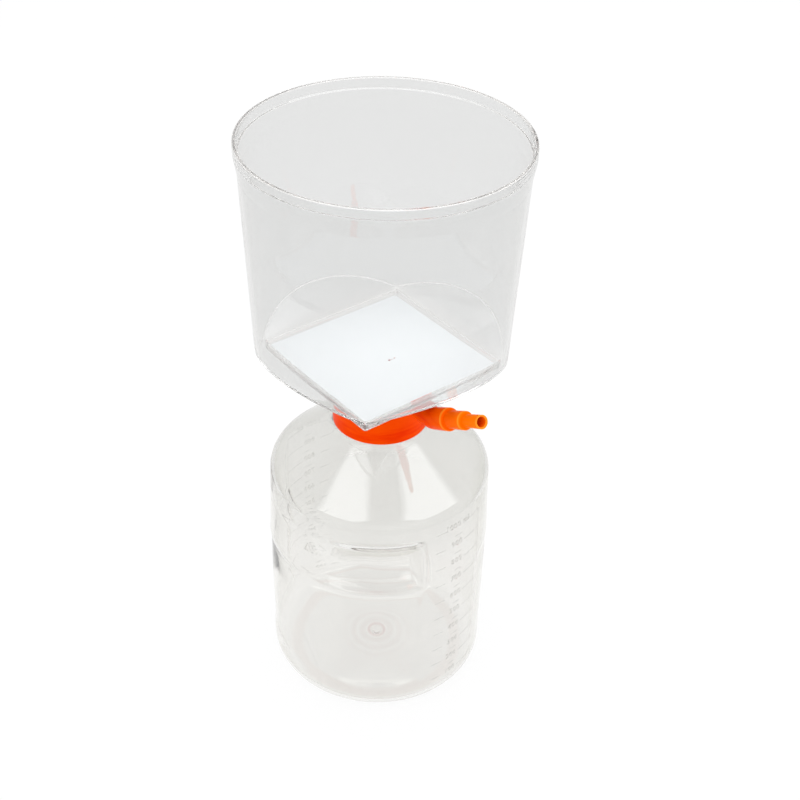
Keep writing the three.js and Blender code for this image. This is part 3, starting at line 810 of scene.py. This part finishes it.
def funnel_section(turn):
    """The funnel's wall cut at an angle (radians) from a side's middle line."""
    a = abs((turn + math.pi / 4) % (math.pi / 2) - math.pi / 4)
    near = math.cos(a) - math.sin(a)
    lean = math.cos(a) + crease / crease_reach / 4 * max(0, 1 - near * crease_reach / crease) ** 2

    def facet(height, inset):
        """Where a facet crosses the round wall."""
        foot = height - well_top_half * facet_slope
        wall = funnel_radius - flare_level * funnel_taper - inset
        r = (wall + funnel_taper * foot) / (1 - funnel_taper * (lean * facet_slope))
        return r, foot + lean * facet_slope * r

    out_low = square_reach(turn, frame_half, well_corner)
    out_level = well_top - facet_drop + (out_low * lean - well_top_half) * facet_slope
    in_top = square_reach(turn, well_top_half, well_corner)
    in_level = well_top + (in_top * lean - well_top_half) * facet_slope
    in_low = square_reach(turn, well_half, well_corner)
    bore = rim_radius - funnel_wall
    # Each corner's place, rounding, steps and frost, and the steps of the stretch that leads to it.
    corners = [((out_low, frame_bottom), 0.2, 2, 0.9, 1), ((out_low, out_level), 0.3, 3, 0.9, 1),
               (facet(well_top - facet_drop, 0), 0.5, 8, 0.5, 3),
               ((funnel_radius, flare_level), 14.0, 5, 0.0, 8),
               ((rim_radius, rim_level), 1.0, 4, 0.5, 2), ((rim_radius, rim_top), 0.5, 4, 0.9, 2),
               ((bore, rim_top), 0.5, 4, 0.9, 1), ((bore, rim_level), 0.3, 3, 0.6, 1),
               ((bore - rim_ledge, rim_level), 0.4, 4, 0.6, 1),
               ((funnel_radius - funnel_wall, flare_level), 14.0, 5, 0.0, 1),
               (facet(well_top, funnel_wall), 0.8, 7, 0.75, 8), ((in_top, in_level), 0.3, 4, 0.75, 4),
               ((in_low, membrane_high), 0.0, 1, 0.3, 1), ((in_low, frame_bottom), 0.2, 2, 0.7, 1)]
    points, radii, steps, frosts, stretches = zip(*corners)
    starts = np.cumsum([0] + [n + 1 if r else 1 for r, n in zip(radii, steps)])
    spans = {int(start) - 1: count for start, count in zip(starts, stretches) if count > 1}
    return divided(rounded(points, radii, steps, frosts), spans)


def funnel_shades(t, place, colour):
    """The funnel's frame is clearer, and its moulded edges are a little white and less clear."""
    frost = t.node("ShaderNodeAttribute", attribute_name="frost").outputs["Fac"]
    level = t.node("ShaderNodeSeparateXYZ", {0: place}).outputs[2]
    colour = t.mix(t.ramp(level, 0.190, 0.186), colour, frame_shade)
    return t.mix(frost, colour, frost_shade), frost


funnel_plastic = clear_plastic("funnel polystyrene", funnel_tint, 0.00006, 22.0, 0.015, 1.0, funnel_slanted,
                               funnel_shades)
funnel_angles = square_angles(1.5, 0.4)
sections = [funnel_section(math.radians(a + 45)) for a in funnel_angles]
funnel_rows = [[around(r, a, z) for (r, z, _), a in zip(row, funnel_angles)] for row in zip(*sections)]
funnel_mesh = shell("funnel", funnel_rows, closed=True)
frost = np.array([[spot[2] for spot in row] for row in zip(*sections)], np.float32)
funnel_mesh.attributes.new("frost", "FLOAT", "POINT").data.foreach_set("value", frost.ravel())
funnel = put("funnel_body", funnel_mesh, funnel_plastic)
funnel.data.set_sharp_from_angle(angle=math.radians(50))
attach(funnel, "filter_unit")
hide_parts("filter_funnel")


# Set
# A plain white floor, which gloss and glass show a little greyer beyond the object and white again far
# off. Soft boxes stand to the left, to the right and behind, and the white surround has a dimmer ceiling.
def rays(t):
    """Whether a ray is the camera's own, and whether it is that or has come by way of gloss or glass."""
    path = t.node("ShaderNodeLightPath").outputs
    seen = t.math("MAXIMUM", t.math("MAXIMUM", path["Is Camera Ray"], path["Is Glossy Ray"]),
                  path["Is Transmission Ray"])
    return path["Is Camera Ray"], seen


floor_white, t, place = new_material("floor")
straight, seen = rays(t)
matt = t.node("ShaderNodeBsdfDiffuse", {"Color": (0.9, 0.9, 0.9, 1)})
out = t.node("ShaderNodeVectorMath", {0: place}, operation="LENGTH").outputs["Value"]
white = t.plus(t.ease(out, 0.08, 0.32, 1.0, 0.84), t.ease(out, 1.0, 3.6, 0.0, 0.16))
glow = t.node("ShaderNodeEmission", {"Color": (1, 1, 1, 1), "Strength": t.math("MAXIMUM", straight, white)})
share = t.plus(t.times(straight, 0.07), t.times(seen, 0.85))
both = t.node("ShaderNodeMixShader", {0: share, 1: matt, 2: glow})
t.node("ShaderNodeOutputMaterial", {"Surface": both})
floor_rows = [[around(r, a, 0) for a in range(0, 360, 6)] for r in (4000, 2000, 1000, 500, 200)]
floor = put("floor", shell("floor", floor_rows + [[(0, 0, 0)]]), floor_white)

world = bpy.data.worlds.new("surround")
bpy.context.scene.world = world
t = empty_tree(world)
seen = rays(t)[1]
upward = t.node("ShaderNodeSeparateXYZ", {0: t.node("ShaderNodeTexCoord").outputs["Generated"]}).outputs[2]
level = t.ramp(seen, 0.0, 1.0, 1.0, t.ease(upward, 0.25, 0.9, 1.0, 0.6))
surround = t.node("ShaderNodeBackground", {"Color": (1, 1, 1, 1), "Strength": level})
t.node("ShaderNodeOutputWorld", {"Surface": surround})

lamp_distance, lamp_aim, lamp_white, lamp_edge, edge_light = 1.3, 0.13, (0.97, 0.985, 1.0), 0.16, 0.25


def soft_box(name, azimuth, elevation, width, tall, radiance):
    """A large soft lamp that faces the object and is dimmer towards its edges."""
    lamp = bpy.data.lights.new(name, "AREA")
    lamp.shape = "RECTANGLE"
    lamp.size, lamp.size_y = width, tall
    lamp.energy = radiance * math.pi * width * tall
    lamp.color = lamp_white
    t = empty_tree(lamp)
    on_lamp = t.node("ShaderNodeNewGeometry").outputs["Parametric"]
    light = 1.0
    for across in t.node("ShaderNodeSeparateXYZ", {0: on_lamp}).outputs[:2]:
        edge = t.minus(0.5, t.math("ABSOLUTE", t.minus(across, 0.5)))
        light = t.times(light, t.ease(edge, 0.0, lamp_edge, edge_light, 1.0))
    glow = t.node("ShaderNodeEmission", {"Color": (1, 1, 1, 1), "Strength": light})
    t.node("ShaderNodeOutputLight", {"Surface": glow})
    stand = bpy.data.objects.new(name, lamp)
    bpy.context.scene.collection.objects.link(stand)
    a, e = math.radians(azimuth), math.radians(elevation)
    stand.location = (lamp_distance * math.cos(e) * math.cos(a), lamp_distance * math.cos(e) * math.sin(a),
                      lamp_aim + lamp_distance * math.sin(e))
    stand.rotation_euler = (math.pi / 2 - e, 0, a + math.pi / 2)


soft_box("soft_box_left", 229, 52, 0.9, 0.65, 1.9)
soft_box("soft_box_right", 344, 47, 1.08, 0.76, 1.9)
soft_box("soft_box_back", 97, 74, 1.15, 0.7, 1.5)

camera = bpy.data.cameras.new("camera")
camera.lens, camera.sensor_width = 61.0127, 36
camera.clip_start, camera.clip_end = 0.01, 20
holder = bpy.data.objects.new("camera", camera)
bpy.context.scene.collection.objects.link(holder)
holder.location = (0.061592, -0.51671, 0.538931)
holder.rotation_euler = (math.radians(53.8047), math.radians(-1.3487), math.radians(6.7823))
bpy.context.scene.camera = holder
bpy.context.scene.view_settings.view_transform = "Standard"
cycles = bpy.context.scene.cycles
cycles.max_bounces = cycles.transmission_bounces = cycles.glossy_bounces = 128
